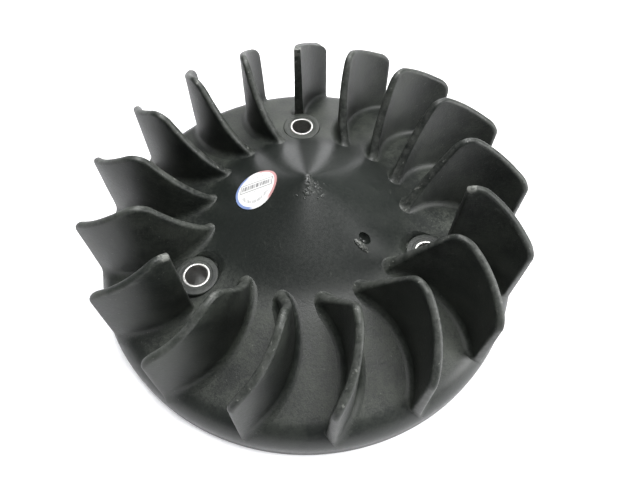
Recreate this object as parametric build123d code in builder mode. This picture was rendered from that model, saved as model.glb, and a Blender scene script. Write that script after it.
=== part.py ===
"""Moulded radial cooling fan that bolts to the flywheel of a small engine.

Millimetres. The origin is the centre of the rim's lower edge, +Z points up the
shaft towards the air inlet, and the first mounting boss lies on +Y.
"""
import os
from math import asin, atan2, cos, degrees, hypot, pi, radians, sin, sqrt

from build123d import *

# Overall sizes
RIM_RADIUS = 69.0            # outside of the rim, which is the widest part
RIM_SKIRT_HEIGHT = 4.2       # straight part of the rim below its rounded shoulder
RIM_SHOULDER_RADIUS = 8.5    # rounding between the rim and the disc
WALL = 2.6                   # wall of the moulding

# Hub cone and disc, heights above the rim's lower edge
HUB_TIP_Z = 39.8             # sharp tip of the cone before it is rounded
HUB_TIP_RADIUS = 2.6         # rounding of the tip
HUB_RADIUS = 30.3            # where the steep cone turns into the disc
HUB_EDGE_Z = 22.5            # height of that turn

# Blades
BLADE_COUNT = 17
BLADE_FIRST_ANGLE = 187.3    # outer corner of the first blade, degrees from +X
BLADE_TIP_INSET = 2.0        # rim radius minus the radius of the outer top corner
BLADE_TIP_Z = 34.6           # height of the outer top corner
BLADE_SHOULDER_RADIUS = 46.4 # radius of the inner top corner
BLADE_SHOULDER_Z = 48.5      # height of the inner top corner
BLADE_FOOT_INSET = 1.5       # rim radius minus the radius of the blade's outer foot
BLADE_BOW = 7.8              # bulge of the curved blade across its chord
BLADE_TOP_THICKNESS = 2.4
BLADE_FOOT_THICKNESS = 3.2
BLADE_SHOULDER_ROUND = 3.2   # rounding of the inner top corner, seen from the side
BLADE_TIP_ROUND = 1.8        # rounding of the outer top corner, seen from the side
BLADE_EDGE_ROUND = 0.3       # softening along the free edges
BLADE_OVERRUN = 6.0          # the curved band is longer than the blade by this much

# Mounting bosses and their pressed-in steel bushes
BOLT_ANGLES = (90.0, 210.0, 336.0)  # uneven, so that the fan fits one way only
BOLT_CIRCLE_RADIUS = 39.7
BOSS_RADIUS = 6.7
BOSS_PROUD = 0.35            # boss face above the disc surface at the bolt circle
BUSH_BORE_RADIUS = 3.3       # clearance for a 6 mm bolt
BUSH_OUTER_RADIUS = 4.1
BUSH_LENGTH = 12.0
BUSH_CHAMFER = 0.25
GUSSET_THICKNESS = 2.0
GUSSET_DROP = 1.5            # gussets stop this far above the lower boss face

# Round sticker on the cone, and the small pit beside the cone's foot
LABEL_RADIUS = 7.5
LABEL_THICKNESS = 0.2
LABEL_AT_RADIUS = 15.9
LABEL_ANGLE = 168.0
PIT_RADIUS = 1.1
PIT_DEPTH = 1.0
PIT_AT_RADIUS = 21.9
PIT_ANGLE = 318.0

# Sizes that follow from the ones above
SHOULDER_CENTRE_R = RIM_RADIUS - RIM_SHOULDER_RADIUS
RIM_INNER = RIM_RADIUS - WALL
BLADE_TIP_R = RIM_RADIUS - BLADE_TIP_INSET
BLADE_FOOT_R = RIM_RADIUS - BLADE_FOOT_INSET
BLADE_PITCH = 360 / BLADE_COUNT
HUB_SLOPE = (HUB_TIP_Z - HUB_EDGE_Z) / HUB_RADIUS
HUB_TILT = degrees(atan2(HUB_TIP_Z - HUB_EDGE_Z, HUB_RADIUS))


def shoulder_point():
    """Where the disc's slope runs into the rim's rounded shoulder."""
    run = SHOULDER_CENTRE_R - HUB_RADIUS
    rise = HUB_EDGE_Z - RIM_SKIRT_HEIGHT
    reach = hypot(run, rise)
    tilt = asin(RIM_SHOULDER_RADIUS / reach) + atan2(-rise, run)
    return (SHOULDER_CENTRE_R - RIM_SHOULDER_RADIUS * sin(tilt),
            RIM_SKIRT_HEIGHT + RIM_SHOULDER_RADIUS * cos(tilt))


SHOULDER_R, SHOULDER_Z = shoulder_point()
DISC_SLOPE = (HUB_EDGE_Z - SHOULDER_Z) / (SHOULDER_R - HUB_RADIUS)
BOSS_TOP_Z = HUB_EDGE_Z - DISC_SLOPE * (BOLT_CIRCLE_RADIUS - HUB_RADIUS) + BOSS_PROUD
BOSS_FOOT_Z = BOSS_TOP_Z - BUSH_LENGTH


def top_z(radius):
    """Height of the moulding's upper surface, rim shoulder included."""
    if radius <= HUB_RADIUS:
        return HUB_TIP_Z - HUB_SLOPE * radius
    if radius <= SHOULDER_R:
        return HUB_EDGE_Z - DISC_SLOPE * (radius - HUB_RADIUS)
    across = radius - SHOULDER_CENTRE_R
    return RIM_SKIRT_HEIGHT + sqrt(RIM_SHOULDER_RADIUS ** 2 - across ** 2)


def bolt_spot(angle):
    """Place of a bolt hole on the bolt circle, as x and y."""
    return (BOLT_CIRCLE_RADIUS * cos(radians(angle)), BOLT_CIRCLE_RADIUS * sin(radians(angle)))


HUB_DROP = WALL / cos(radians(HUB_TILT))
DISC_DROP = WALL * hypot(1, DISC_SLOPE)
SHOULDER_MID = (SHOULDER_R + RIM_RADIUS) / 2
SHOULDER_SCALE = (RIM_SHOULDER_RADIUS - WALL) / RIM_SHOULDER_RADIUS
INNER_SHOULDER_R = SHOULDER_CENTRE_R + (SHOULDER_R - SHOULDER_CENTRE_R) * SHOULDER_SCALE
INNER_SHOULDER_Z = RIM_SKIRT_HEIGHT + (SHOULDER_Z - RIM_SKIRT_HEIGHT) * SHOULDER_SCALE
INNER_MID_R = SHOULDER_CENTRE_R + (SHOULDER_MID - SHOULDER_CENTRE_R) * SHOULDER_SCALE
INNER_MID_Z = RIM_SKIRT_HEIGHT + (top_z(SHOULDER_MID) - RIM_SKIRT_HEIGHT) * SHOULDER_SCALE
HUB_UNDER_Z = HUB_EDGE_Z - DISC_DROP

with BuildPart() as hub:
    # The hub is a thin cone with a rounded tip, open underneath for the shaft nut.
    with BuildSketch(Plane.XZ):
        with BuildLine():
            Polyline((0, HUB_TIP_Z), (HUB_RADIUS, HUB_EDGE_Z), (HUB_RADIUS, HUB_UNDER_Z),
                     (0, HUB_TIP_Z - HUB_DROP), (0, HUB_TIP_Z))
        make_face()
    revolve(axis=Axis.Z)
    # A ball inside the tip gives the rounding; what stands above it is cut away.
    touch_r = HUB_TIP_RADIUS * sin(radians(HUB_TILT))
    touch_z = top_z(touch_r)
    ball_z = touch_z - HUB_TIP_RADIUS * cos(radians(HUB_TILT))
    with BuildSketch(Plane.XZ):
        with BuildLine():
            Line((0, HUB_TIP_Z), (touch_r, touch_z))
            ThreePointArc(
                (touch_r, touch_z),
                (HUB_TIP_RADIUS * sin(radians(HUB_TILT / 2)),
                 ball_z + HUB_TIP_RADIUS * cos(radians(HUB_TILT / 2))),
                (0, ball_z + HUB_TIP_RADIUS))
            Line((0, ball_z + HUB_TIP_RADIUS), (0, HUB_TIP_Z))
        make_face()
    revolve(axis=Axis.Z, mode=Mode.SUBTRACT)
    # The small pit beside the cone's foot goes part of the way through the wall.
    pit_spot = Plane(
        origin=(PIT_AT_RADIUS * cos(radians(PIT_ANGLE)),
                PIT_AT_RADIUS * sin(radians(PIT_ANGLE)), top_z(PIT_AT_RADIUS)),
        z_dir=(sin(radians(HUB_TILT)) * cos(radians(PIT_ANGLE)),
               sin(radians(HUB_TILT)) * sin(radians(PIT_ANGLE)), cos(radians(HUB_TILT))))
    with BuildSketch(pit_spot):
        Circle(PIT_RADIUS)
    extrude(amount=PIT_DEPTH, both=True, mode=Mode.SUBTRACT)

with BuildPart() as disc:
    # The disc carries the blades and has a round hole for each boss.
    with BuildSketch(Plane.XZ):
        with BuildLine():
            Polyline((HUB_RADIUS, HUB_EDGE_Z), (SHOULDER_R, SHOULDER_Z),
                     (INNER_SHOULDER_R, INNER_SHOULDER_Z), (HUB_RADIUS, HUB_UNDER_Z),
                     (HUB_RADIUS, HUB_EDGE_Z))
        make_face()
    revolve(axis=Axis.Z)
    with BuildSketch(Plane.XY):
        with Locations([bolt_spot(angle) for angle in BOLT_ANGLES]):
            Circle(BOSS_RADIUS)
    extrude(amount=HUB_TIP_Z, mode=Mode.SUBTRACT)

with BuildPart() as rim:
    # The rim is a short skirt with a rounded shoulder that meets the disc.
    with BuildSketch(Plane.XZ):
        with BuildLine():
            ThreePointArc((SHOULDER_R, SHOULDER_Z), (SHOULDER_MID, top_z(SHOULDER_MID)),
                          (RIM_RADIUS, RIM_SKIRT_HEIGHT))
            Polyline((RIM_RADIUS, RIM_SKIRT_HEIGHT), (RIM_RADIUS, 0), (RIM_INNER, 0),
                     (RIM_INNER, RIM_SKIRT_HEIGHT))
            ThreePointArc((RIM_INNER, RIM_SKIRT_HEIGHT), (INNER_MID_R, INNER_MID_Z),
                          (INNER_SHOULDER_R, INNER_SHOULDER_Z))
            Line((INNER_SHOULDER_R, INNER_SHOULDER_Z), (SHOULDER_R, SHOULDER_Z))
        make_face()
    revolve(axis=Axis.Z)


def under_z(radius):
    """Height of the hub's and disc's lower surface."""
    if radius <= HUB_RADIUS:
        tip = HUB_TIP_Z - HUB_DROP
        return tip - (tip - HUB_UNDER_Z) * radius / HUB_RADIUS
    return HUB_UNDER_Z - DISC_SLOPE * (radius - HUB_RADIUS)


def largest_solid(part):
    """The part's largest solid alone."""
    return Part([part.solids().sort_by(SortBy.VOLUME)[-1]])


def make_boss(angle):
    """Boss column with its two gussets, at its place on the bolt circle."""
    turn = radians(angle)
    start = BUSH_OUTER_RADIUS + (BOSS_RADIUS - BUSH_OUTER_RADIUS) / 2
    reach = BOSS_RADIUS + BUSH_LENGTH - DISC_DROP - GUSSET_DROP
    low = BOSS_FOOT_Z + GUSSET_DROP
    radial = Plane(origin=(0, 0, 0), x_dir=(cos(turn), sin(turn), 0),
                   z_dir=(sin(turn), -cos(turn), 0))
    with BuildPart() as boss:
        with BuildSketch(Plane.XY.offset(BOSS_FOOT_Z)):
            with Locations(bolt_spot(angle)):
                Circle(BOSS_RADIUS)
        extrude(amount=BUSH_LENGTH)
        # The gussets run a little into the wall above, and are trimmed to it below.
        with BuildSketch(radial):
            for side in (-1, 1):
                near = BOLT_CIRCLE_RADIUS + side * start
                far = BOLT_CIRCLE_RADIUS + side * reach
                with BuildLine():
                    Polyline((near, low), (far, under_z(far)), (far, under_z(far) + WALL / 2),
                             (near, under_z(near) + WALL / 2), (near, low))
                make_face()
        extrude(amount=GUSSET_THICKNESS / 2, both=True)
        add(hub.part, mode=Mode.SUBTRACT)
        add(disc.part, mode=Mode.SUBTRACT)
        with BuildSketch(Plane.XY.offset(BOSS_FOOT_Z)):
            with Locations(bolt_spot(angle)):
                Circle(BUSH_OUTER_RADIUS)
        extrude(amount=BUSH_LENGTH, mode=Mode.SUBTRACT)
    return largest_solid(boss.part)


def make_bush(angle):
    """Steel tube pressed into a boss, chamfered at both ends of its bore."""
    with BuildPart() as bush:
        with BuildSketch(Plane.XY.offset(BOSS_FOOT_Z)):
            with Locations((BOLT_CIRCLE_RADIUS, 0)):
                Circle(BUSH_OUTER_RADIUS)
                Circle(BUSH_BORE_RADIUS, mode=Mode.SUBTRACT)
        extrude(amount=BUSH_LENGTH)
        bore_edges = bush.edges().filter_by(GeomType.CIRCLE).filter_by(
            lambda edge: edge.radius < (BUSH_BORE_RADIUS + BUSH_OUTER_RADIUS) / 2)
        chamfer(bore_edges, BUSH_CHAMFER)
    return bush.part.rotate(Axis.Z, angle)


# The blade is a curved band standing on the disc. Its plan is one circular arc
# whose chord is radial, from the hub's foot to the outer top corner.
CHORD = BLADE_TIP_R - HUB_RADIUS
ARC_RADIUS = (CHORD ** 2 / 4 + BLADE_BOW ** 2) / (2 * BLADE_BOW)
ARC_CENTRE = ((BLADE_TIP_R + HUB_RADIUS) / 2, BLADE_BOW - ARC_RADIUS)
ARC_HALF_ANGLE = degrees(asin(CHORD / 2 / ARC_RADIUS) + BLADE_OVERRUN / ARC_RADIUS)
CENTRE_LINE_STEPS = 400         # fine enough to place a cut within a tenth of a millimetre


def above_foot(edge):
    """True for a blade's free edges, false for those that lie on the disc."""
    spots = [edge @ part_way for part_way in (0.3, 0.5, 0.7)]
    return all(spot.Z > top_z(min(hypot(spot.X, spot.Y), BLADE_FOOT_R)) + BLADE_EDGE_ROUND
               for spot in spots)


with BuildPart() as blade_form:
    # The curved band is turned about the arc's own centre. It is thicker at the
    # foot than at the top, so that the blade lifts out of its mould.
    band_start = radians(90 - ARC_HALF_ANGLE)
    with BuildSketch(Plane(origin=(*ARC_CENTRE, 0),
                           x_dir=(cos(band_start), sin(band_start), 0),
                           z_dir=(sin(band_start), -cos(band_start), 0))):
        with BuildLine():
            Polyline((ARC_RADIUS - BLADE_FOOT_THICKNESS / 2, 0),
                     (ARC_RADIUS + BLADE_FOOT_THICKNESS / 2, 0),
                     (ARC_RADIUS + BLADE_TOP_THICKNESS / 2, BLADE_SHOULDER_Z),
                     (ARC_RADIUS - BLADE_TOP_THICKNESS / 2, BLADE_SHOULDER_Z),
                     (ARC_RADIUS - BLADE_FOOT_THICKNESS / 2, 0))
        make_face()
    revolve(axis=Axis((*ARC_CENTRE, 0), (0, 0, 1)), revolution_arc=2 * ARC_HALF_ANGLE)
    # Its side view is turned round the shaft: sloping inner edge, sloping top.
    # The seam of that turned body lies opposite the blade.
    with BuildSketch(Plane(origin=(0, 0, 0), x_dir=(-1, 0, 0), z_dir=(0, 1, 0))) as side_view:
        with BuildLine():
            foot_mid = (SHOULDER_R + BLADE_FOOT_R) / 2
            Polyline((BLADE_FOOT_R, top_z(BLADE_FOOT_R)), (BLADE_TIP_R, BLADE_TIP_Z),
                     (BLADE_SHOULDER_RADIUS, BLADE_SHOULDER_Z), (HUB_RADIUS, HUB_EDGE_Z),
                     (SHOULDER_R, SHOULDER_Z))
            ThreePointArc((SHOULDER_R, SHOULDER_Z), (foot_mid, top_z(foot_mid)),
                          (BLADE_FOOT_R, top_z(BLADE_FOOT_R)))
        make_face()
        fillet(side_view.vertices().sort_by(Axis.Y)[-1], BLADE_SHOULDER_ROUND)
        fillet(side_view.vertices().filter_by(
            lambda corner: abs(corner.Y - BLADE_TIP_Z) < WALL).sort_by(Axis.X)[-1],
            BLADE_TIP_ROUND)
    revolve(axis=Axis.Z, mode=Mode.INTERSECT)
    fillet(blade_form.edges().filter_by(above_foot).filter_by(GeomType.CIRCLE, reverse=True),
           BLADE_EDGE_ROUND)


def cut_radius(number):
    """How far out a boss cuts a blade back: to where the blade's near face clears it.

    The centre line is walked from the hub to the tip. Zero means that no boss is near.
    """
    cut = 0
    lead = radians(BLADE_FIRST_ANGLE + number * BLADE_PITCH)
    sweep = asin(CHORD / 2 / ARC_RADIUS)
    for step in range(CENTRE_LINE_STEPS + 1):
        turn = pi / 2 + sweep * (1 - 2 * step / CENTRE_LINE_STEPS)
        spot = (ARC_CENTRE[0] + ARC_RADIUS * cos(turn), ARC_CENTRE[1] + ARC_RADIUS * sin(turn))
        radius, angle = hypot(*spot), atan2(spot[1], spot[0]) + lead
        for bolt in BOLT_ANGLES:
            bolt_x, bolt_y = bolt_spot(bolt)
            gap = hypot(radius * cos(angle) - bolt_x, radius * sin(angle) - bolt_y)
            if gap < BOSS_RADIUS + BLADE_FOOT_THICKNESS / 2:
                cut = radius
    return cut


def make_blade(number):
    """Blade at its place. One that meets a boss starts beyond the boss."""
    with BuildPart() as blade:
        add(blade_form.part.rotate(Axis.Z, BLADE_FIRST_ANGLE + number * BLADE_PITCH))
        cut = cut_radius(number)
        if cut:
            with BuildSketch(Plane.XY):
                Circle(cut)
            extrude(amount=BLADE_SHOULDER_Z, mode=Mode.SUBTRACT)
    return blade.part


with BuildPart() as label:
    # The sticker is a thin cone shell on the hub, cut to a circle square to the cone.
    with BuildSketch(Plane.XZ):
        with BuildLine():
            lift = LABEL_THICKNESS / cos(radians(HUB_TILT))
            Polyline((touch_r, touch_z), (HUB_RADIUS, HUB_EDGE_Z),
                     (HUB_RADIUS, HUB_EDGE_Z + lift), (touch_r, touch_z + lift),
                     (touch_r, touch_z))
        make_face()
    revolve(axis=Axis.Z)
    label_turn = radians(LABEL_ANGLE)
    label_spot = Plane(
        origin=(LABEL_AT_RADIUS * cos(label_turn), LABEL_AT_RADIUS * sin(label_turn),
                top_z(LABEL_AT_RADIUS)),
        z_dir=(sin(radians(HUB_TILT)) * cos(label_turn),
               sin(radians(HUB_TILT)) * sin(label_turn), cos(radians(HUB_TILT))))
    with BuildSketch(label_spot):
        Circle(LABEL_RADIUS)
    extrude(amount=LABEL_RADIUS / 2, both=True, mode=Mode.INTERSECT)

nodes = {"hub": hub.part, "disc": disc.part, "rim": rim.part, "label": label.part}
for number, angle in enumerate(BOLT_ANGLES, start=1):
    nodes[f"boss_{number}"] = make_boss(angle)
    nodes[f"bush_{number}"] = make_bush(angle)
for number in range(BLADE_COUNT):
    nodes[f"blade_{number + 1:02d}"] = make_blade(number)

os.makedirs("parts", exist_ok=True)
for name, solid in nodes.items():
    solid.label = name
    export_step(solid, f"parts/{name}.step")
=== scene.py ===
# %% [markdown]
# # A moulded cooling fan for a small engine
# This lesson builds the look of one part: a black plastic fan that bolts to an
# engine's flywheel. The imported CAD model gives every size and place. The Blender
# pieces below stand in for its nodes, with rounded edges, moulding grain and wear.
# The first cell loads that model as a fixed frame, whose boxes give the sizes.

# %% Load the frame
import math
import random

import bmesh
import bpy
from mathutils import Matrix, Vector, noise


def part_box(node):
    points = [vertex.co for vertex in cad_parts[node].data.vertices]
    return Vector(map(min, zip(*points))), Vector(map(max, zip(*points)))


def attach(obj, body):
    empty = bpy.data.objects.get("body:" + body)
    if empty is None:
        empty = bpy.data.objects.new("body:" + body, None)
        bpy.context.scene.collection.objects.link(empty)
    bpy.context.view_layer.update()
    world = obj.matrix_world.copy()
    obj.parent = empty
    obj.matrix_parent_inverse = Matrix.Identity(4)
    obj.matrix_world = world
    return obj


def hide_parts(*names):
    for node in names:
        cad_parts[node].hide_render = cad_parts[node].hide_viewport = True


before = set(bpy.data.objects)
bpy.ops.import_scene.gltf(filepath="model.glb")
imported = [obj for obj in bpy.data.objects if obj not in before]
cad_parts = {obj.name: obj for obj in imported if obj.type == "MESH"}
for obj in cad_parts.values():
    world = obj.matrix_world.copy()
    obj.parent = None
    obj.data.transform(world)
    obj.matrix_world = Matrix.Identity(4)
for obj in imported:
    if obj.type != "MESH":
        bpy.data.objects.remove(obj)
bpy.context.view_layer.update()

# %% [markdown]
# ## Sizes
# Lengths are written in millimetres, as on a drawing, and turned into metres once,
# when a mesh is finished. The overall sizes are read from the frame's own boxes, so
# they always agree with the CAD. The rest are the part's design sizes.

# %% Sizes of the fan
MM = 0.001


def box_mm(node):
    """Lowest and highest corner of a CAD node, in millimetres."""
    low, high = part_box(node)
    return [value / MM for value in low], [value / MM for value in high]


RIM_RADIUS = box_mm("rim")[1][0]
RIM_SKIRT_TOP = 4.2
RIM_SHOULDER = 8.5
WALL = 2.6
HUB_TIP_Z = 39.8
HUB_RADIUS = box_mm("hub")[1][0]
HUB_EDGE_Z = box_mm("disc")[1][2]
SHOULDER_R, SHOULDER_Z = box_mm("disc")[1][0], box_mm("rim")[1][2]
BLADE_COUNT = sum(name.startswith("blade_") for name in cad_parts)
BLADE_FIRST_ANGLE = 187.3
BLADE_TIP_R = RIM_RADIUS - 2.0
BLADE_TIP_Z = 34.6
BLADE_PEAK_R, BLADE_PEAK_Z = 46.4, 48.5
BLADE_FOOT_R = RIM_RADIUS - 1.5
BLADE_BOW = 7.8
BOLT_COUNT = sum(name.startswith("bush_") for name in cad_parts)
BUSH_LOW, BUSH_HIGH = box_mm("bush_1")
BOLT_CIRCLE = (BUSH_LOW[1] + BUSH_HIGH[1]) / 2
BUSH_RADIUS = (BUSH_HIGH[0] - BUSH_LOW[0]) / 2
BUSH_BORE = 3.3
BOSS_LOW, BOSS_HIGH = box_mm("boss_1")
BOSS_RADIUS = (BOSS_HIGH[0] - BOSS_LOW[0]) / 2
BOSS_TOP, BOSS_FOOT = BUSH_HIGH[2], BUSH_LOW[2]
LABEL_RADIUS = 7.5
LABEL_AT_RADIUS, LABEL_ANGLE = 15.9, 168.0
DISC_SLOPE = (HUB_EDGE_Z - SHOULDER_Z) / (SHOULDER_R - HUB_RADIUS)
HUB_SLOPE = (HUB_TIP_Z - HUB_EDGE_Z) / HUB_RADIUS
print("rim", RIM_RADIUS, "blades", BLADE_COUNT, "bolt circle", round(BOLT_CIRCLE, 2),
      "boss face", round(BOSS_TOP, 2))

# %% [markdown]
# ## The surface that everything stands on
# The upper side of the moulding is a cone, then a flatter cone, then a rounded
# shoulder down to the rim. Blades, bosses and sticker all need its height at a given
# radius, so it is written once as a function. The steep and the flat cone run into
# each other with a soft bend, because a mould has no sharp valley there.

# %% Height of the moulding's upper surface
HUB_BLEND = 5.0


def cone_z(radius):
    """Height of the two cones, with the bend between them smoothed."""
    steep = HUB_TIP_Z - HUB_SLOPE * radius
    flat = HUB_EDGE_Z - DISC_SLOPE * (radius - HUB_RADIUS)
    if abs(radius - HUB_RADIUS) >= HUB_BLEND:
        return max(steep, flat)
    reach = (radius - HUB_RADIUS) / HUB_BLEND
    lift = (HUB_SLOPE - DISC_SLOPE) * HUB_BLEND * (1 - abs(reach)) ** 2 / 4
    return max(steep, flat) + lift


def surface_z(radius):
    """Height of the upper surface, shoulder included."""
    if radius <= SHOULDER_R:
        return cone_z(radius)
    across = min(radius, RIM_RADIUS) - (RIM_RADIUS - RIM_SHOULDER)
    return RIM_SKIRT_TOP + math.sqrt(max(RIM_SHOULDER ** 2 - across ** 2, 0))


print("surface at hub edge", round(surface_z(HUB_RADIUS), 2))

# %% [markdown]
# ## Small modelling helpers
# A piece is a bmesh in millimetres. `finish_piece` scales it to metres, points the
# faces outwards, smooths it and hides the CAD nodes it stands for. All pieces ride
# on the body "root", since the fan has no moving parts within itself.

# %% Helpers that finish a piece
SMOOTH_ANGLE = math.radians(38)
WELD = 0.002  # points closer than this become one
CORNER_SEGMENTS = 5
RING_STEPS = 64


def finish_piece(name, bm, material, nodes):
    """Turns a bmesh in millimetres into a finished object of the fan."""
    bmesh.ops.remove_doubles(bm, verts=bm.verts, dist=WELD)
    bmesh.ops.recalc_face_normals(bm, faces=bm.faces)
    bmesh.ops.scale(bm, vec=(MM, MM, MM), verts=bm.verts)
    mesh = bpy.data.meshes.new(name)
    bm.to_mesh(mesh)
    bm.free()
    mesh.shade_smooth()
    mesh.set_sharp_from_angle(angle=SMOOTH_ANGLE)
    mesh.materials.append(material)
    piece = bpy.data.objects.new(name, mesh)
    bpy.context.collection.objects.link(piece)
    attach(piece, "root")
    if nodes:
        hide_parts(*nodes)
    print(name, len(mesh.polygons), "faces")
    return piece


def turn_about(bm, verts, angle, centre=(0, 0, 0), axis=(0, 0, 1)):
    """Turns vertices about an axis through a centre, in degrees."""
    bmesh.ops.rotate(bm, cent=centre, verts=verts,
                     matrix=Matrix.Rotation(math.radians(angle), 3, axis))


def spun(points, roundings, steps, centre=(0, 0)):
    """Closed ring or disc: a side outline with rounded corners, spun about a shaft."""
    bm = bmesh.new()
    corners = [bm.verts.new((radius, 0, height)) for radius, height in points]
    for one, two in zip(corners, corners[1:]):
        bm.edges.new((one, two))
    if points[0][0] > 0:
        bm.edges.new((corners[-1], corners[0]))
    for corner, rounding in zip(corners, roundings):
        if rounding:
            bmesh.ops.bevel(bm, geom=[corner], offset=rounding, segments=CORNER_SEGMENTS,
                            profile=0.5, affect="VERTICES", material=-1)
    bmesh.ops.spin(bm, geom=bm.verts[:] + bm.edges[:], cent=(0, 0, 0), axis=(0, 0, 1),
                   angle=math.tau, steps=steps, use_merge=True)
    bmesh.ops.remove_doubles(bm, verts=bm.verts, dist=WELD)
    bmesh.ops.translate(bm, vec=(*centre, 0), verts=bm.verts)
    return bm


def bolt_spot(number):
    """Centre of a bolt hole, read from its bush. The three are unevenly spaced."""
    low, high = box_mm(f"bush_{number + 1}")
    return Vector(((low[0] + high[0]) / 2, (low[1] + high[1]) / 2))


BOLT_SPOTS = [bolt_spot(number) for number in range(BOLT_COUNT)]
print("bolt holes at", [tuple(round(value, 2) for value in spot) for spot in BOLT_SPOTS])

# %% [markdown]
# ## Shader maths as Python
# A procedural material is arithmetic on noise. Writing it as nodes by hand hides the
# idea, so one small class wraps a socket and turns + - * and ** into Math nodes. Any
# other node comes from one method, which takes the node's type, its settings and the
# values of its inputs.

# %% A socket that can be calculated with
class Wire:
    """Wraps an output socket of a node tree."""

    def __init__(self, tree, socket):
        self.tree, self.socket = tree, socket

    def math(self, operation, *others, clamp=False):
        values = {index: value for index, value in enumerate(others, start=1)}
        return make_node(self.tree, "ShaderNodeMath",
                         {"operation": operation, "use_clamp": clamp}, {0: self, **values})

    def __add__(self, other): return self.math("ADD", other)
    def __radd__(self, other): return self.math("ADD", other)
    def __mul__(self, other): return self.math("MULTIPLY", other)
    def __rmul__(self, other): return self.math("MULTIPLY", other)
    def __sub__(self, other): return self.math("SUBTRACT", other)
    def __rsub__(self, other): return (self * -1) + other
    def __pow__(self, other): return self.math("POWER", other)

    def clamped(self): return self.math("ADD", 0.0, clamp=True)

    def ramp(self, low, high):
        """0 below low, 1 above high, smooth between."""
        return make_node(self.tree, "ShaderNodeMapRange", {"interpolation_type": "SMOOTHSTEP"},
                         {"Value": self, "From Min": low, "From Max": high})


def make_node(tree, kind, settings, inputs, output=0):
    """Adds a node: its settings first, then its inputs as values or wires."""
    node = tree.nodes.new(kind)
    for key, value in settings.items():
        setattr(node, key, value)
    for key, value in inputs.items():
        if isinstance(value, Wire):
            tree.links.new(value.socket, node.inputs[key])
        else:
            node.inputs[key].default_value = value
    return Wire(tree, node.outputs[output])


def mix_colour(tree, factor, first, second):
    """Mixes two colours; each is a tuple or a wire."""
    node = tree.nodes.new("ShaderNodeMix")
    node.data_type = "RGBA"
    for socket, value in ((node.inputs[0], factor), (node.inputs[6], first),
                          (node.inputs[7], second)):
        if isinstance(value, Wire):
            tree.links.new(value.socket, socket)
        else:
            socket.default_value = value
    return Wire(tree, node.outputs[2])


def new_material(name):
    """Empty material with its shader, and the object's own coordinates."""
    material = bpy.data.materials.new(name)
    material.use_nodes = True
    tree = material.node_tree
    shader = tree.nodes["Principled BSDF"]
    where = make_node(tree, "ShaderNodeTexCoord", {}, {}, output="Object")
    return material, tree, shader, where


def feed(tree, shader, socket, wire):
    """Links a wire to one of the shader's sockets."""
    tree.links.new(wire.socket, shader.inputs[socket])


def stretched(tree, where, scale):
    """Coordinates scaled separately along X, Y and Z."""
    return make_node(tree, "ShaderNodeVectorMath", {"operation": "MULTIPLY"},
                     {0: where, 1: scale})


def grain(tree, where, scale, detail=3.0, rough=0.55):
    """Noise between 0 and 1 at a scale given in cells per metre."""
    return make_node(tree, "ShaderNodeTexNoise", {},
                     {"Vector": where, "Scale": scale, "Detail": detail, "Roughness": rough})


print("shader helpers ready")

# %% [markdown]
# ## The black plastic
# The fan is moulded from a black filled plastic. Its base colour is nearly black, so
# almost everything that is seen on it is reflection: a soft sheen, broken by a fine
# moulding grain. Handling leaves it scuffed and dusty, and the free edges of the
# blades are rubbed grey. The mesh carries two attributes, one for wear near the free
# edges and one for polish on the hub, and the material mixes its finishes by them.
# The first also paints a highlight on each blade's peak corner, and the second clears
# the dust from the pit, a painted shade in the hollow.

# %% Material of the moulding
PLASTIC = (0.0094, 0.0116, 0.0102, 1)
PLASTIC_DUSTY = (0.050, 0.056, 0.046, 1)
# Rubbed grey of worn edges, also used as a painted highlight on the blade peaks.
PLASTIC_RUBBED_AND_GLINT = (0.085, 0.089, 0.082, 1)
# Pale specks of dust and nicks; on the blade peaks the nicks are painted glints.
DUST_SPECK_AND_GLINT = (0.17, 0.175, 0.16, 1)


def attribute(tree, name):
    """A vertex attribute of the mesh, as a number."""
    return make_node(tree, "ShaderNodeAttribute", {"attribute_name": name}, {}, output=2)


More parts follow.
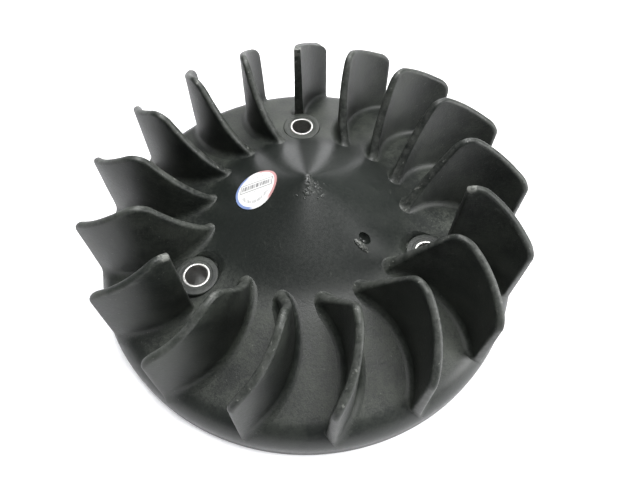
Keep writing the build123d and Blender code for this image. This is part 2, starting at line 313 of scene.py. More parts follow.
def moulded_plastic(name, grain_depth, sheen_roughness, dust_amount, gloss):
    """Black moulded plastic with grain, scuffs, dust and rubbed edges, painted highlights on blade
    peaks and painted shade in the pit.
    """
    material, tree, shader, where = new_material(name)
    wear_and_glints, polish_and_shade = attribute(tree, "wear_and_glints"), attribute(tree, "polish_and_shade")
    # Where this is 0 the dust and specks are left out; inside the pit that is painted shade.
    matte_and_unshaded = 1 - polish_and_shade
    fine = grain(tree, where, 2600.0, 2.0, 0.6)
    pebble = grain(tree, where, 1050.0, 4.0, 0.7)
    mottle = grain(tree, where, 130.0, 4.0, 0.6)
    cloud = grain(tree, where, 34.0, 3.0, 0.5)
    specks = grain(tree, where, 1500.0, 1.0, 0.5).ramp(0.745, 0.785) * matte_and_unshaded
    dust = ((mottle * 0.3 + cloud * 0.2 + pebble * 0.25 + fine * 0.25).ramp(0.42, 0.60)
            * (matte_and_unshaded * 0.9 + 0.1) * dust_amount)
    # On the blade peaks the extra value of this attribute is a painted highlight, drawn as rubbed
    # grey and pale specks.
    worn_and_glints = (wear_and_glints * (grain(tree, where, 420.0, 4.0, 0.7) * 1.7 - 0.05)).ramp(0.45, 1.3)
    nicks_and_glints = (wear_and_glints * grain(tree, where, 760.0, 2.0, 0.6)).ramp(0.64, 0.72)
    scuffs = (grain(tree, stretched(tree, where, (1.0, 0.16, 1.0)), 900.0, 2.0, 0.6)
              .ramp(0.60, 0.74) * mottle.ramp(0.5, 0.7))
    body = mix_colour(tree, dust, PLASTIC, PLASTIC_DUSTY)
    body = mix_colour(tree, scuffs * 0.3, body, PLASTIC_DUSTY)
    body = mix_colour(tree, worn_and_glints * 0.75, body, PLASTIC_RUBBED_AND_GLINT)
    body = mix_colour(tree, (specks * 0.4 + nicks_and_glints * 0.7).clamped(), body, DUST_SPECK_AND_GLINT)
    feed(tree, shader, "Base Color", body)
    roughness = (sheen_roughness + dust * 0.12 - polish_and_shade * 0.16 + scuffs * 0.1
                 + (pebble - 0.5) * 0.22 + (fine - 0.5) * 0.08)
    feed(tree, shader, "Roughness", roughness.clamped())
    height = fine * 0.3 + mottle * 0.25 + pebble * 0.9
    bump = make_node(tree, "ShaderNodeBump", {}, {
        "Strength": 0.6, "Distance": grain_depth, "Height": height * (1 - polish_and_shade * 0.82)})
    feed(tree, shader, "Normal", bump)
    shader.inputs["IOR"].default_value = 1.5
    shader.inputs["Specular IOR Level"].default_value = gloss
    return material


disc_plastic = moulded_plastic("moulding_plastic", 0.00016, 0.52, 0.9, 0.45)
blade_plastic = moulded_plastic("blade_plastic", 0.00010, 0.47, 0.6, 0.38)
print("plastic ready")

# %% [markdown]
# ## The steel of the bushes
# The bushes are short turned tubes. Turning leaves fine rings, and the end faces are
# bright.

# %% Material of the bushes
STEEL_BRIGHT = (0.58, 0.58, 0.56, 1)
STEEL_DULL = (0.34, 0.33, 0.31, 1)


def turned_steel(name):
    """Bright turned steel, duller in blotches."""
    material, tree, shader, where = new_material(name)
    blotch = grain(tree, where, 420.0, 3.0, 0.6).ramp(0.40, 0.72)
    rings = grain(tree, stretched(tree, where, (0.3, 0.3, 6.0)), 1400.0, 2.0, 0.5)
    feed(tree, shader, "Base Color", mix_colour(tree, blotch * 0.35, STEEL_BRIGHT, STEEL_DULL))
    feed(tree, shader, "Roughness", (blotch * 0.12 + rings * 0.10 + 0.30).clamped())
    feed(tree, shader, "Normal", make_node(tree, "ShaderNodeBump", {}, {
        "Strength": 0.12, "Distance": 0.00002, "Height": rings}))
    shader.inputs["Metallic"].default_value = 1.0
    return material


bush_steel = turned_steel("bush_steel")
print("steel ready")

# %% [markdown]
# ## Hub, disc and rim
# On the real fan the cone, the disc and the skirted rim are one wall of even
# thickness. A lathe shape like this is easiest as a side outline spun about the shaft.
# The outline's corners are rounded first, while they are only a few points, so that
# every edge of the spun shape is already soft. The number of steps is a multiple of
# the blade count, which keeps the facets the same at each blade.

# %% Outline of the moulding
CONE_POINTS = 34
ARC_POINTS = 10


def shoulder_point(radius, angle):
    """Point of an arc about the shoulder's centre, as an unrounded corner."""
    return (RIM_RADIUS - RIM_SHOULDER + radius * math.cos(angle),
            RIM_SKIRT_TOP + radius * math.sin(angle), 0)


def outline_points():
    """Corners of the moulding's side view, with the rounding of each, in millimetres."""
    drop = WALL * math.hypot(1, DISC_SLOPE)
    top = [(0.0, HUB_TIP_Z - 0.42, 0)]
    top += [(0.65, HUB_TIP_Z - 0.52, 0), (1.3, HUB_TIP_Z - 0.80, 0)]
    for index in range(CONE_POINTS + 1):
        radius = 2.0 + (SHOULDER_R - 2.0) * index / CONE_POINTS
        top.append((radius, cone_z(radius), 0))
    start = math.atan2(SHOULDER_Z - RIM_SKIRT_TOP, SHOULDER_R - (RIM_RADIUS - RIM_SHOULDER))
    angles = [start * (1 - index / ARC_POINTS) for index in range(1, ARC_POINTS + 1)]
    arc = [shoulder_point(RIM_SHOULDER, angle) for angle in angles]
    skirt = [(RIM_RADIUS, 0.0, 0.45), (RIM_RADIUS - WALL, 0.0, 0.45)]
    skirt += [shoulder_point(RIM_SHOULDER - WALL, angle) for angle in reversed(angles)]
    under = [(HUB_RADIUS + 1.0, HUB_EDGE_Z - drop - 0.3, 3.0),
             (4.0, HUB_TIP_Z - HUB_SLOPE * 4.0 - WALL * 1.16, 1.5),
             (0.0, HUB_TIP_Z - HUB_SLOPE * 2.6 - WALL * 1.16, 0)]
    return top + arc + skirt + under


outline = outline_points()
print(len(outline), "outline points, tip at", round(outline[0][1], 2))

# %% [markdown]
# The spun wall then gets its holes with exact booleans. Each boss stands in a round
# hole that opens upwards like a countersink, so its inner side has a soft slope and not
# a dark step. The little pit beside the foot of the cone is a dented ball. A cutter is
# used once and removed. Its faces have to point outwards, or the boolean leaves a disc
# of plastic in the hole instead of cutting it.

# %% Helpers that cut a mesh and mark its vertices
SPIN_STEPS = BLADE_COUNT * 10
PIT_AT_RADIUS, PIT_ANGLE = 21.9, 318.0
SHOULDER_POLISH = 0.75
HOLE_GAP = 0.02  # how much smaller a hole is than its boss
HOLE_OVERRUN = 5.0
COUNTERSINK_OUT, COUNTERSINK_UP = 2.0, 2.6
COUNTERSINK_ROUND = 0.6
PIT_HALF_SIZES, PIT_LIFT, PIT_TURN = (2.2, 1.6, 2.4), 0.2, 8
PIT_DENT_SCALE, PIT_DENT = 1.4, 0.22
# Inside this reach the pit is cleared of dust: a painted shade in the hollow.
PIT_SHADE_REACH = 2.8


def cut_away(piece, cutter_bm):
    """Cuts a bmesh in metres out of a finished piece, for good."""
    mesh = bpy.data.meshes.new("cutter")
    cutter_bm.to_mesh(mesh)
    cutter_bm.free()
    cutter = bpy.data.objects.new("cutter", mesh)
    bpy.context.collection.objects.link(cutter)
    cut = piece.modifiers.new("cut", "BOOLEAN")
    cut.operation, cut.solver, cut.object = "DIFFERENCE", "EXACT", cutter
    shaped = bpy.data.meshes.new_from_object(
        piece.evaluated_get(bpy.context.evaluated_depsgraph_get()))
    piece.modifiers.clear()
    piece.data = shaped
    bpy.data.objects.remove(cutter)
    shaped.shade_smooth()
    shaped.set_sharp_from_angle(angle=SMOOTH_ANGLE)


def mark(piece, name, rule):
    """Gives every vertex a number from a rule on its place in millimetres."""
    layer = piece.data.attributes.get(name) or piece.data.attributes.new(name, "FLOAT", "POINT")
    layer.data.foreach_set("value", [rule(*(vertex.co / MM)) for vertex in piece.data.vertices])


def blend(value, low, high):
    """0 below low, 1 above high, smooth between."""
    share = min(max((value - low) / (high - low), 0), 1)
    return share * share * (3 - 2 * share)


def on_cone(radius, angle, lift=0.0):
    """Point on the upper surface at a radius and an angle in degrees, and its normal."""
    turn = math.radians(angle)
    tilt = math.atan((surface_z(radius - 0.1) - surface_z(radius + 0.1)) / 0.2)
    normal = Vector((math.sin(tilt) * math.cos(turn), math.sin(tilt) * math.sin(turn),
                     math.cos(tilt)))
    spot = Vector((radius * math.cos(turn), radius * math.sin(turn), surface_z(radius)))
    return spot + normal * lift, normal


def stand_on(bm, verts, radius, angle, lift=0.0, turn=0.0):
    """Moves a shape made round the origin onto the surface, upright to it."""
    spot, normal = on_cone(radius, angle, lift)
    turn_about(bm, verts, turn)
    slope = Matrix.Rotation(math.atan2(normal.xy.length, normal.z), 3, "Y")
    bmesh.ops.rotate(bm, cent=(0, 0, 0), verts=verts,
                     matrix=Matrix.Rotation(math.radians(angle), 3, "Z") @ slope)
    bmesh.ops.translate(bm, vec=spot, verts=verts)


# %% Build the moulding
moulding_bm = spun([point[:2] for point in outline], [point[2] for point in outline],
                   SPIN_STEPS)
moulding = finish_piece("moulding", moulding_bm, disc_plastic,
                        ["hub", "disc", "rim"])

hole, bottom, ceiling = BOSS_RADIUS - HOLE_GAP, BOSS_FOOT - HOLE_OVERRUN, BOSS_TOP + COUNTERSINK_UP
for number in range(BOLT_COUNT):
    boss_cutter = spun([(0, bottom), (hole, bottom), (hole, BOSS_TOP + 0.05),
                        (hole + COUNTERSINK_OUT, ceiling), (0, ceiling)],
                       [0, 0, COUNTERSINK_ROUND, 0, 0], RING_STEPS, BOLT_SPOTS[number])
    bmesh.ops.recalc_face_normals(boss_cutter, faces=boss_cutter.faces)
    bmesh.ops.scale(boss_cutter, vec=(MM, MM, MM), verts=boss_cutter.verts)
    cut_away(moulding, boss_cutter)

pit_cutter = bmesh.new()
made = bmesh.ops.create_icosphere(pit_cutter, subdivisions=3, radius=1.0)
bmesh.ops.scale(pit_cutter, vec=PIT_HALF_SIZES, verts=made["verts"])
for vertex in made["verts"]:
    vertex.co += noise.noise_vector(vertex.co * PIT_DENT_SCALE) * PIT_DENT
stand_on(pit_cutter, made["verts"], PIT_AT_RADIUS, PIT_ANGLE, PIT_LIFT, PIT_TURN)
bmesh.ops.scale(pit_cutter, vec=(MM, MM, MM), verts=pit_cutter.verts)
cut_away(moulding, pit_cutter)

pit_spot = on_cone(PIT_AT_RADIUS, PIT_ANGLE)[0]


def moulding_polish_and_pit_shade(x, y, z):
    """Smooth hub and shoulder, grainy elsewhere; the pit is cleared of dust, a painted shade."""
    radius = math.hypot(x, y)
    if z < surface_z(radius) - 3.0:
        return 0.0
    # The pit's interior gets the full value, which clears its dust: painted shade.
    in_pit = (Vector((x, y, z)) - pit_spot).length < PIT_SHADE_REACH
    return max(1 - blend(radius, 28.0, 39.0),
               blend(radius, SHOULDER_R - 1.2, SHOULDER_R + 1.6) * SHOULDER_POLISH,
               1.0 if in_pit else 0.0)


def moulding_wear(x, y, z):
    """Rubbed on the outside of the rim's lower edge."""
    outer = blend(math.hypot(x, y), RIM_RADIUS - 0.25, RIM_RADIUS - 0.02)
    return outer * (1 - blend(z, 0.4, 1.2)) * 0.9


mark(moulding, "polish_and_shade", moulding_polish_and_pit_shade)
mark(moulding, "wear_and_glints", moulding_wear)
print("moulding cut:", len(moulding.data.polygons), "faces")

# %% [markdown]
# Something once struck the cone beside its foot. It left a pit with a bright burr of
# pushed-up plastic on one side. The burr is a small stretched ball, roughened with
# noise and sunk into the surface.

# %% Build the burr beside the pit
BURR_HALF_SIZES = (2.9, 0.9, 0.5)
BURR_SHIFT, BURR_SWING, BURR_TURN = 0.7, -6.6, 10  # away from the pit: mm, degrees; turn
BURR_ROUGH_SCALE, BURR_ROUGH = 2.3, 0.24
BURR_WEAR, BURR_POLISH = 1.25, 0.8

burr_bm = bmesh.new()
made = bmesh.ops.create_icosphere(burr_bm, subdivisions=4, radius=1.0)
bmesh.ops.scale(burr_bm, vec=BURR_HALF_SIZES, verts=made["verts"])
for vertex in made["verts"]:
    vertex.co += noise.noise_vector(vertex.co * BURR_ROUGH_SCALE) * BURR_ROUGH
stand_on(burr_bm, made["verts"], PIT_AT_RADIUS + BURR_SHIFT, PIT_ANGLE + BURR_SWING, 0.0,
         BURR_TURN)
burr = finish_piece("pit_burr", burr_bm, disc_plastic, [])
mark(burr, "wear_and_glints", lambda x, y, z: BURR_WEAR)
mark(burr, "polish_and_shade", lambda x, y, z: BURR_POLISH)

# %% [markdown]
# The mould was filled through a gate beside the cone's tip. Where the plastic stub was
# broken off, a rough crumbly patch is left. It is a handful of small lumps, sunk in the
# surface and joined in one piece. The seed fixes where they lie and how big they are.
# Their roughness isn't fixed: `noise_vector` gets a new seed each time Blender starts,
# so the lumps, the burr and the dents of the pit differ slightly from run to run.

# %% Build the gate scar below the tip
GATE_LUMPS, GATE_LUMP_SIZES = 44, (0.25, 0.60)
GATE_RADIUS, GATE_ANGLE = 3.3, 302.0
GATE_SPREAD, GATE_ANGLE_SPREAD = 1.3, 26
GATE_CLOSEST = 1.0
GATE_SINK = 0.08
GATE_FLATTEN = (1.5, 1.0, 0.42)
GATE_POLISH = 0.55

lumps = random.Random(7)
gate_bm = bmesh.new()
for _ in range(GATE_LUMPS):
    made = bmesh.ops.create_icosphere(gate_bm, subdivisions=2,
                                      radius=lumps.uniform(*GATE_LUMP_SIZES))
    shift = Vector((lumps.random() * 9, 0, 0))
    for vertex in made["verts"]:
        vertex.co += noise.noise_vector(vertex.co * 2.5 + shift) * 0.3
    bmesh.ops.scale(gate_bm, vec=GATE_FLATTEN, verts=made["verts"])
    stand_on(gate_bm, made["verts"], max(GATE_RADIUS + lumps.gauss(0, GATE_SPREAD), GATE_CLOSEST),
             GATE_ANGLE + lumps.gauss(0, GATE_ANGLE_SPREAD), -GATE_SINK, lumps.uniform(0, 180))
gate_scar = finish_piece("gate_scar", gate_bm, disc_plastic, [])
mark(gate_scar, "wear_and_glints",
     lambda x, y, z: blend(noise.noise(Vector((x, y, z)) * 1.6), 0.1, 0.6) * 0.8)
mark(gate_scar, "polish_and_shade", lambda x, y, z: GATE_POLISH)

# %% [markdown]
# ## Blades
# A blade is a thin curved wall. In plan it is one circular arc with a radial chord;
# from the side it rises steeply from the cone, turns over a rounded peak and slopes
# down to its outer tip. It is drawn flat first, as an outline over the surface, cut
# into columns and rows, given its thickness, and its free edges are bevelled while
# the work is still flat. Only then is it bent round its arc. On the way each vertex
# learns how far it is above the surface: near the foot the wall is spread into a
# fillet, and further up it gets thinner, as a moulded wall does.

# %% Sizes of a blade
CHORD = BLADE_TIP_R - HUB_RADIUS
ARC_RADIUS = (CHORD ** 2 / 4 + BLADE_BOW ** 2) / (2 * BLADE_BOW)
ARC_CENTRE = Vector(((BLADE_TIP_R + HUB_RADIUS) / 2, BLADE_BOW - ARC_RADIUS))
PLATE = 2.0  # thickness of the flat drawing, before it gets its own
TOP_HALF, FOOT_HALF = 1.15, 1.6
FOOT_FILLET = 2.3
FOOT_SINK = 0.35
COLUMN_STEP = 1.3
CUT_STEPS = 200
FOOT_BLEND = 12  # height over which a blade follows the surface below it
ROWS = (0.0, 0.12, 0.3, 0.55, 0.9, 1.35, 1.9, 2.6, 4.0, 6.0, 8.5, 11.0, 13.5, 16.0, 18.5,
        21.0, 23.5, 26.0, 28.5, 31.0, 33.5)


def foot_line(radius):
    """Straight foot line that the flat drawing stands on."""
    return HUB_EDGE_Z - DISC_SLOPE * (radius - HUB_RADIUS)


def arc_turn(radius):
    """Angle about the arc's centre at which the blade's centre line has a radius."""
    far = ARC_CENTRE.length
    turn = math.acos((radius ** 2 - far ** 2 - ARC_RADIUS ** 2) / (2 * ARC_RADIUS * far))
    return turn + math.atan2(ARC_CENTRE.y, ARC_CENTRE.x)


def bend_onto_fan(radius, across, height):
    """Takes a point of the flat drawing to its place on the first blade at +X."""
    turn = arc_turn(min(radius, BLADE_TIP_R))
    beyond = max(radius / BLADE_TIP_R, 1)
    reach = ARC_RADIUS + across
    place = (ARC_CENTRE + reach * Vector((math.cos(turn), math.sin(turn)))) * beyond
    foot = foot_line(radius)
    height += (surface_z(place.length) - foot) * (1 - blend(height - foot, 0, FOOT_BLEND))
    return place.to_3d() + Vector((0, 0, height))


def cut_radius(number):
    """How far out a boss cuts a blade back, and 0 where no boss is near."""
    cut, lead = 0, math.radians(BLADE_FIRST_ANGLE + 360 / BLADE_COUNT * number)
    for step in range(CUT_STEPS + 1):
        radius = HUB_RADIUS + CHORD * step / CUT_STEPS
        turn = arc_turn(radius)
        spot = ARC_CENTRE + ARC_RADIUS * Vector((math.cos(turn), math.sin(turn)))
        spot.rotate(Matrix.Rotation(lead, 2))
        if min((spot - bolt).length for bolt in BOLT_SPOTS) < BOSS_RADIUS + FOOT_HALF:
            cut = radius
    return cut


print("blade arc radius", round(ARC_RADIUS, 2))

# %% Draw, cut, thicken and bend one blade
LEAD_HOLLOW = 0.5
TOP_CROWN = 0.5
WOBBLE, WOBBLE_SCALE = 0.22, 0.07
END_FLARE = 0.35  # share of the fillet that is left at the ends of the foot
SEED_STEP = 3.7
PEAK_ROUND, TIP_ROUND, CUT_ROUND = 5.6, 3.0, 1.6
EDGE_ROUND = 0.9
# Extra rubbing value at the blades' peak corners: a painted highlight.
PEAK_GLINT = 1.4


def flat_outline(bm, cut):
    """One flat face: the side view of the blade. A boss may cut its inner part away."""
    low = FOOT_SINK
    root = (HUB_RADIUS, HUB_EDGE_Z - low)
    foot = (BLADE_FOOT_R, foot_line(BLADE_FOOT_R) - low)
    tip, peak = (BLADE_TIP_R, BLADE_TIP_Z), (BLADE_PEAK_R, BLADE_PEAK_Z)
    corners = [bm.verts.new((x, 0, z)) for x, z in (root, foot, tip, peak)]
    bm.faces.new(corners)
    for corner, rounding in ((corners[3], PEAK_ROUND), (corners[2], TIP_ROUND)):
        bmesh.ops.bevel(bm, geom=[corner], offset=rounding, segments=8, profile=0.5,
                        affect="VERTICES", material=-1)
    if cut:
        bmesh.ops.bisect_plane(bm, geom=bm.verts[:] + bm.edges[:] + bm.faces[:],
                               plane_co=(cut, 0, 0), plane_no=(1, 0, 0), clear_inner=True)
        root, peak = (cut, foot_line(cut) - low), (cut, max(vert.co.z for vert in bm.verts))
        at_peak = [vert for vert in bm.verts if (vert.co.xz - Vector(peak)).length < 0.01]
        bmesh.ops.bevel(bm, geom=at_peak, offset=CUT_ROUND, segments=4, profile=0.5,
                        affect="VERTICES", material=-1)
    return root, foot, tip, peak


def edge_distance(x, z, ends):
    """Distance of a flat point from the line between two corners."""
    (ax, az), (bx, bz) = ends
    length = math.hypot(bx - ax, bz - az)
    return abs((bx - ax) * (az - z) - (ax - x) * (bz - az)) / length


def blade_mesh(seed, cut):
    """One blade at +X, in millimetres, with rubbed edges and a painted highlight on the peak in a
    layer of the mesh.
    """
    bm = bmesh.new()
    root, foot, tip, peak = flat_outline(bm, cut)
    grown = bmesh.ops.extrude_face_region(bm, geom=bm.faces[:])
    moved = [item for item in grown["geom"] if isinstance(item, bmesh.types.BMVert)]
    bmesh.ops.translate(bm, vec=(0, PLATE, 0), verts=moved)
    bmesh.ops.translate(bm, vec=(0, -PLATE / 2, 0), verts=bm.verts)
    bmesh.ops.recalc_face_normals(bm, faces=bm.faces)
    free_edges = [edge for edge in bm.edges if edge.calc_face_angle(0) > 1.0
                  and abs(edge.verts[0].co.y - edge.verts[1].co.y) < 0.01
                  and max(vert.co.z - foot_line(vert.co.x) for vert in edge.verts) > 0]
    bmesh.ops.bevel(bm, geom=free_edges, offset=EDGE_ROUND, segments=5, profile=0.5,
                    affect="EDGES", material=-1, clamp_overlap=True)
    columns = int((BLADE_FOOT_R - HUB_RADIUS) / COLUMN_STEP)
    cuts = [((HUB_RADIUS + (BLADE_FOOT_R - HUB_RADIUS) * index / columns, 0, 0), (1, 0, 0))
            for index in range(1, columns)]
    cuts += [((HUB_RADIUS, 0, HUB_EDGE_Z + row), (DISC_SLOPE, 0, 1)) for row in ROWS]
    for place, normal in cuts:
        bmesh.ops.bisect_plane(bm, geom=bm.verts[:] + bm.edges[:] + bm.faces[:],
                               plane_co=place, plane_no=normal, dist=1e-5)
    # This layer holds the edge wear and the painted highlight at the peak.
    wear_and_glints = bm.verts.layers.float.new("wear_and_glints")
    bm.normal_update()
    outward = [vert.normal.xy.normalized() for vert in bm.verts]
    for vert, outside in zip(bm.verts, outward):
        x, y, z = vert.co
        from_lead = edge_distance(x, z, (root, peak))
        from_top = edge_distance(x, z, (peak, tip))
        from_outer = edge_distance(x, z, (tip, foot))
        from_peak = math.hypot(x - peak[0], z - peak[1])
        # The last term is a painted highlight on the peak corner; the others are edge wear.
        vert[wear_and_glints] = max(1 - blend(from_lead, 0.1, 1.3), 1 - blend(from_top, 0.1, 1.5),
                         (1 - blend(from_outer, 0.1, 1.2)) * 0.85,
                         PEAK_GLINT * (1 - blend(from_peak, 2.0, 3.8)))
        above = max(z - foot_line(x), 0)
        height_share = above / (BLADE_PEAK_Z - HUB_EDGE_Z)
        half = FOOT_HALF + (TOP_HALF - FOOT_HALF) * height_share
        share = max(1 - above / FOOT_FILLET, 0)
        flare = FOOT_FILLET * (1 - math.sqrt(1 - share ** 2)) if above < FOOT_FILLET else 0
        side = y / (PLATE / 2)
        along_top = blend(x, BLADE_PEAK_R, BLADE_TIP_R)
        crown = TOP_CROWN * 4 * along_top * (1 - along_top) * (1 - blend(from_top, 0, 8))
        hollow = 0
        if not cut:
            along_lead = min(max((x - root[0]) / (BLADE_PEAK_R - root[0]), 0), 1)
            hollow = LEAD_HOLLOW * (1 - blend(from_lead, 0, 6)) * math.sin(math.pi * along_lead)
        wobble = WOBBLE * height_share * noise.noise(
            Vector((x * WOBBLE_SCALE, z * WOBBLE_SCALE, seed)))
        flare *= END_FLARE + (1 - END_FLARE) * blend(min(from_lead, from_outer), 0, 3.0)
        radius = x + flare * min(outside.x, 0) + hollow * 0.6
        vert.co = bend_onto_fan(radius, side * half + flare * outside.y + wobble,
                                z + crown - hollow * 0.4)
    return bm


# %% Build all the blades
blades = []
for number in range(BLADE_COUNT):
    blade_bm = blade_mesh(number * SEED_STEP, cut_radius(number))
    turn_about(blade_bm, blade_bm.verts, BLADE_FIRST_ANGLE + 360 / BLADE_COUNT * number)
    node = f"blade_{number + 1:02d}"
    blade = finish_piece("fan_" + node, blade_bm, blade_plastic, [node])
    mark(blade, "polish_and_shade", lambda x, y, z: 0.0)
    blades.append(blade)
print(len(blades), "blades,", len(blades[0].data.polygons), "faces in the first")

# %% [markdown]
# ## Bosses and bushes
# Each boss is a round column that carries a steel bush. Its face is flat with a soft
# outer edge and a fine step round the bush. Both are spun outlines. Two gussets
# under each boss tie the column to the wall above.

# %% Build the bosses and bushes
STEP_RADIUS = BUSH_RADIUS + 0.75
STEP_DEPTH = 0.12
BOSS_EDGE = 0.45
BOSS_ROUNDINGS = [0, 0.05, 0.05, BOSS_EDGE, 0.4, 0.1]
BUSH_ROUNDINGS = [0.30, 0.20, 0.12, 0.22]
BOSS_WEAR, BOSS_POLISH = 0.55, 0.35


def boss_wear(spot):
    """Rule that rubs a boss grey on the outer edge of its face."""
    return lambda x, y, z: (BOSS_WEAR * blend(math.hypot(x - spot.x, y - spot.y), 5.9, 6.5)
                            * blend(z, BOSS_TOP - 1, BOSS_TOP))


bosses, bushes = [], []
for number in range(BOLT_COUNT):
    node_number = number + 1
    boss_bm = spun([(BUSH_RADIUS, BOSS_TOP - STEP_DEPTH), (STEP_RADIUS, BOSS_TOP - STEP_DEPTH),
                    (STEP_RADIUS + STEP_DEPTH, BOSS_TOP), (BOSS_RADIUS, BOSS_TOP),
                    (BOSS_RADIUS, BOSS_FOOT), (BUSH_RADIUS, BOSS_FOOT)],
                   BOSS_ROUNDINGS, RING_STEPS, BOLT_SPOTS[number])
    boss = finish_piece(f"boss_column_{node_number}", boss_bm, disc_plastic,
                        [f"boss_{node_number}"])
    mark(boss, "wear_and_glints", boss_wear(BOLT_SPOTS[number]))
    mark(boss, "polish_and_shade", lambda x, y, z: BOSS_POLISH)
    bush_bm = spun([(BUSH_BORE, BOSS_TOP), (BUSH_RADIUS, BOSS_TOP),
                    (BUSH_RADIUS, BOSS_FOOT), (BUSH_BORE, BOSS_FOOT)],
                   BUSH_ROUNDINGS, RING_STEPS, BOLT_SPOTS[number])
    bush = finish_piece(f"steel_bush_{node_number}", bush_bm, bush_steel,
                        [f"bush_{node_number}"])
    bosses.append(boss)
    bushes.append(bush)
print(len(bosses), "bosses and", len(bushes), "bushes")

# %% [markdown]
# The gussets are flat plates under the wall, seen only from below. A box is turned
# into each one by moving its corners: the edge by the column is tall, the far edge
# meets the wall.

# %% Build the gussets
GUSSET_START, GUSSET_REACH = 5.0, 14.4  # from the boss axis
GUSSET_HALF, GUSSET_DROP, GUSSET_TIP, GUSSET_ROUND = 1.0, 1.5, 0.6, 0.25
UNDER_SINK = 0.9


def under_z(radius):
    """Height just inside the wall, above its lower surface."""
    return cone_z(radius) - WALL * math.hypot(1, DISC_SLOPE) + UNDER_SINK


for number in range(BOLT_COUNT):
    gusset_bm = bmesh.new()
    for side in (-1, 1):
        made = bmesh.ops.create_cube(gusset_bm, size=2.0)
        near, far = BOLT_CIRCLE + side * GUSSET_START, BOLT_CIRCLE + side * GUSSET_REACH
        for vertex in made["verts"]:
            radius = far if vertex.co.x * side > 0 else near
            low = BOSS_FOOT + GUSSET_DROP if radius == near else under_z(far) - GUSSET_TIP
            vertex.co = Vector((radius, vertex.co.y * GUSSET_HALF,
                                under_z(radius) if vertex.co.z > 0 else low))
        bmesh.ops.bevel(gusset_bm, geom=list({edge for vertex in made["verts"]
                                              for edge in vertex.link_edges}),
                        offset=GUSSET_ROUND, segments=2, profile=0.5, affect="EDGES", material=-1)
    spot_x, spot_y = BOLT_SPOTS[number]
    turn_about(gusset_bm, gusset_bm.verts, math.degrees(math.atan2(spot_y, spot_x)))
    finish_piece(f"boss_gussets_{number + 1}", gusset_bm, disc_plastic, [])

# %% [markdown]
# ## The sticker
# A round printed sticker lies on the left flank of the cone. It is a disc of rings,
# rolled onto the cone so that it isn't stretched. Its print is
# laid out on a UV map of the flat disc, so that it stays round on the slope. The
# print is a generic one: a two-coloured border, a band of bars, and short strokes.

# %% Build the sticker
LABEL_THICKNESS, LABEL_LIFT = 0.16, 0.01
LABEL_RINGS, LABEL_SIDES = 9, 72


def roll_onto_cone(flat_x, flat_y, lift):
    """Takes a point of the flat sticker to the cone. X points down the slope."""
    slope_length = math.hypot(1, HUB_SLOPE)
    from_tip = LABEL_AT_RADIUS * slope_length + flat_x
    reach = math.hypot(from_tip, flat_y)
    turn = math.atan2(flat_y, from_tip) * slope_length
    radius = reach / slope_length
    angle = LABEL_ANGLE + math.degrees(turn)
    return on_cone(radius, angle, lift)[0]


label_bm = bmesh.new()
bmesh.ops.create_circle(label_bm, cap_ends=True, segments=LABEL_SIDES,
                        radius=LABEL_RADIUS)
for ring in range(LABEL_RINGS):
    middle = [face for face in label_bm.faces if len(face.verts) > 4]
    bmesh.ops.inset_region(label_bm, faces=middle, use_boundary=True,
                           thickness=LABEL_RADIUS / (LABEL_RINGS + 1))
bmesh.ops.poke(label_bm, faces=[face for face in label_bm.faces if len(face.verts) > 4])
grown = bmesh.ops.extrude_face_region(label_bm, geom=label_bm.faces[:])
lifted = [item for item in grown["geom"] if isinstance(item, bmesh.types.BMVert)]
bmesh.ops.translate(label_bm, vec=(0, 0, LABEL_THICKNESS), verts=lifted)
uv_map = label_bm.loops.layers.uv.new("print")
for face in label_bm.faces:
    for loop in face.loops:
        loop[uv_map].uv = (0.5 + loop.vert.co.x / LABEL_RADIUS / 2,
                           0.5 + loop.vert.co.y / LABEL_RADIUS / 2)
for vertex in label_bm.verts:
    vertex.co = roll_onto_cone(vertex.co.x, vertex.co.y, vertex.co.z + LABEL_LIFT)
print("sticker rolled onto the cone:", len(label_bm.faces), "faces")

# %% Material of the sticker
LABEL_WHITE, LABEL_INK = (0.84, 0.84, 0.83, 1), (0.045, 0.045, 0.05, 1)
LABEL_BLUE, LABEL_RED = (0.20, 0.27, 0.50, 1), (0.50, 0.27, 0.27, 1)
PRINT_LEAN = 5.0  # how far the printed lines lean clockwise from +X, in degrees
PRINT_TURN = math.radians(LABEL_ANGLE + PRINT_LEAN)


def band(value, low, high, soft=0.012):
    """1 between two values, 0 outside."""
    return value.ramp(low - soft, low + soft) * (1 - value.ramp(high - soft, high + soft))


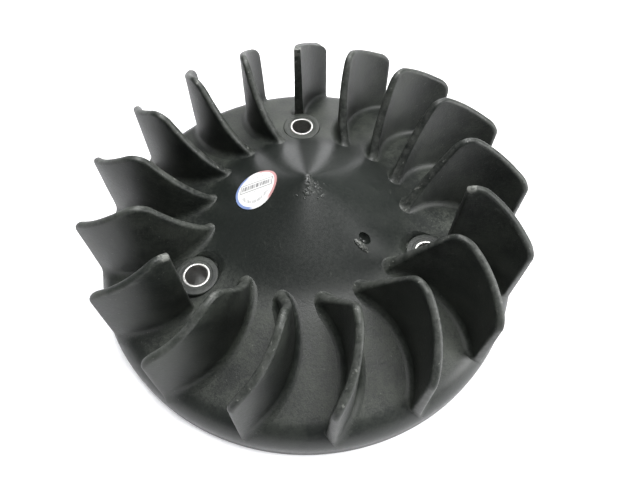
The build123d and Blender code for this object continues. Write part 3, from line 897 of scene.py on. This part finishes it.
def printed_film(name):
    """White glossy film with a generic round print."""
    material, tree, shader, _ = new_material(name)
    flat = make_node(tree, "ShaderNodeUVMap", {"uv_map": "print"}, {})
    centred = make_node(tree, "ShaderNodeVectorMath", {"operation": "SUBTRACT"},
                        {0: flat, 1: (0.5, 0.5, 0.0)})
    level = make_node(tree, "ShaderNodeVectorRotate", {"rotation_type": "Z_AXIS"},
                      {"Vector": centred, "Angle": PRINT_TURN})
    parts = tree.nodes.new("ShaderNodeSeparateXYZ")
    tree.links.new(level.socket, parts.inputs[0])
    across, upward = Wire(tree, parts.outputs[0]) * 2, Wire(tree, parts.outputs[1]) * 2
    reach = (across * across + upward * upward) ** 0.5
    border = band(reach, 0.89, 1.1)
    body = mix_colour(tree, border * (across + upward * 0.4).ramp(0.2, 0.5),
                      LABEL_WHITE, LABEL_RED)
    body = mix_colour(tree, border * (across * -1 - upward * 0.2).ramp(0.2, 0.5),
                      body, LABEL_BLUE)
    strokes = make_node(tree, "ShaderNodeTexNoise", {"noise_dimensions": "1D"},
                        {"W": across, "Scale": 19.0, "Detail": 0.0}).ramp(0.46, 0.52)
    fine_strokes = make_node(tree, "ShaderNodeTexNoise", {"noise_dimensions": "1D"},
                             {"W": across + 3.0, "Scale": 34.0, "Detail": 0.0}).ramp(0.46, 0.52)
    box_across = band(across, -0.75, 0.78)
    rules = (band(upward, 0.335, 0.37) + band(upward, -0.095, -0.06)) * box_across
    sides = (band(across, -0.78, -0.74) + band(across, 0.75, 0.79)) * band(upward, -0.08, 0.35)
    bars = band(upward, 0.03, 0.25) * band(across, -0.68, 0.70) * strokes
    small = (band(upward, 0.60, 0.68) * band(across, -0.36, 0.42)
             + band(upward, 0.46, 0.52) * band(across, -0.46, 0.38)
             + band(upward, -0.22, -0.16) * band(across, -0.26, 0.04)) * fine_strokes
    arc_strokes = band(reach, 0.60, 0.74) * (upward * -1).ramp(0.28, 0.34) * fine_strokes
    tint = band(upward, -0.08, 0.35) * box_across * 0.22
    ink = (rules * 0.8 + sides * 0.7 + bars * 0.7 + small * 0.65 + arc_strokes * 0.7 + tint)
    ink = ink.clamped()
    feed(tree, shader, "Base Color", mix_colour(tree, ink * 0.9, body, LABEL_INK))
    shader.inputs["Roughness"].default_value = 0.32
    return material


label_film = printed_film("label_film")
sticker = finish_piece("round_sticker", label_bm, label_film, ["label"])

# %% [markdown]
# ## Floor, light and camera
# The fan stands on a plain pale table in a bright room. A faint glow keeps the table
# white, but the glow is left out under the fan: a painted shadow there, so the bores
# look down into the dark. Three large soft lights stand behind, to the right and above.
# They draw pale sheets on the glossy cone, while the side that faces the camera stays
# dark. The camera looks down at the fan from the front.

# %% Floor
TABLE_WHITE, TABLE_GLOW = (0.86, 0.86, 0.87, 1), (0.95, 0.95, 1.0, 1)
GLOW_STRENGTH = 0.24
TABLE_DROP = 0.0002  # metres, so that the rim does not share a plane with the table

floor_bm = bmesh.new()
bmesh.ops.create_grid(floor_bm, x_segments=2, y_segments=2, size=4.0)
bmesh.ops.translate(floor_bm, vec=(0, 0, -TABLE_DROP), verts=floor_bm.verts)
floor_mesh = bpy.data.meshes.new("floor")
floor_bm.to_mesh(floor_mesh)
floor_bm.free()
floor = bpy.data.objects.new("floor", floor_mesh)
bpy.context.collection.objects.link(floor)
table_white, table_tree, table_shader, table_where = new_material("table_white")
table_shader.inputs["Base Color"].default_value = TABLE_WHITE
table_shader.inputs["Roughness"].default_value = 0.6
from_shaft = make_node(table_tree, "ShaderNodeVectorMath", {"operation": "LENGTH"},
                       {0: table_where}, output=1)
# No glow inside the rim: a painted shadow beneath the fan, dark in the bores.
feed(table_tree, table_shader, "Emission Color", mix_colour(
    table_tree, from_shaft.ramp((RIM_RADIUS - WALL * 2) * MM, RIM_RADIUS * MM),
    (0, 0, 0, 1), TABLE_GLOW))
table_shader.inputs["Emission Strength"].default_value = GLOW_STRENGTH
floor_mesh.materials.append(table_white)
print("table ready")

# %% World and soft lights
ROOM_COLOUR, ROOM_STRENGTH = (0.95, 0.97, 1.0, 1), 0.19

world = bpy.data.worlds.new("room")
bpy.context.scene.world = world
world.use_nodes = True
room = world.node_tree.nodes["Background"]
room.inputs["Color"].default_value = ROOM_COLOUR
room.inputs["Strength"].default_value = ROOM_STRENGTH


def soft_light(name, place, aim, size, power):
    """Square area light at a place in metres, facing a point."""
    light = bpy.data.lights.new(name, "AREA")
    light.shape, light.size, light.energy = "SQUARE", size, power
    lamp = bpy.data.objects.new(name, light)
    lamp.location = place
    lamp.rotation_euler = (Vector(aim) - Vector(place)).to_track_quat("-Z", "Y").to_euler()
    bpy.context.collection.objects.link(lamp)


soft_light("back_window", (0.15, 0.75, 0.55), (0, 0, 0.02), 0.5, 7.0)
soft_light("right_window", (0.90, -0.25, 0.35), (0, 0, 0.03), 0.5, 9.5)
soft_light("ceiling", (0.1, 0.05, 0.95), (0, 0, 0), 0.45, 12.5)
print("lights ready:", len(bpy.data.lights))

# %% Camera
CAMERA_PLACE = Vector((-3.7, -94.3, 153.1)) * MM
CAMERA_AIM = Vector((3.34, -9.85, 20.0)) * MM
CAMERA_ROLL = math.radians(1.09)
LENS, SENSOR_WIDTH = 28.42, 36.0  # millimetres

camera_data = bpy.data.cameras.new("camera")
camera_data.lens, camera_data.sensor_width = LENS, SENSOR_WIDTH
camera_data.clip_start = 0.01
camera = bpy.data.objects.new("camera", camera_data)
facing = (CAMERA_AIM - CAMERA_PLACE).to_track_quat("-Z", "Y").to_matrix()
camera.matrix_world = Matrix.Translation(CAMERA_PLACE) @ (
    facing @ Matrix.Rotation(CAMERA_ROLL, 3, "Z")).to_4x4()
bpy.context.collection.objects.link(camera)
bpy.context.scene.camera = camera
bpy.context.scene.view_settings.view_transform = "Standard"
print("camera at", tuple(round(value, 3) for value in CAMERA_PLACE))
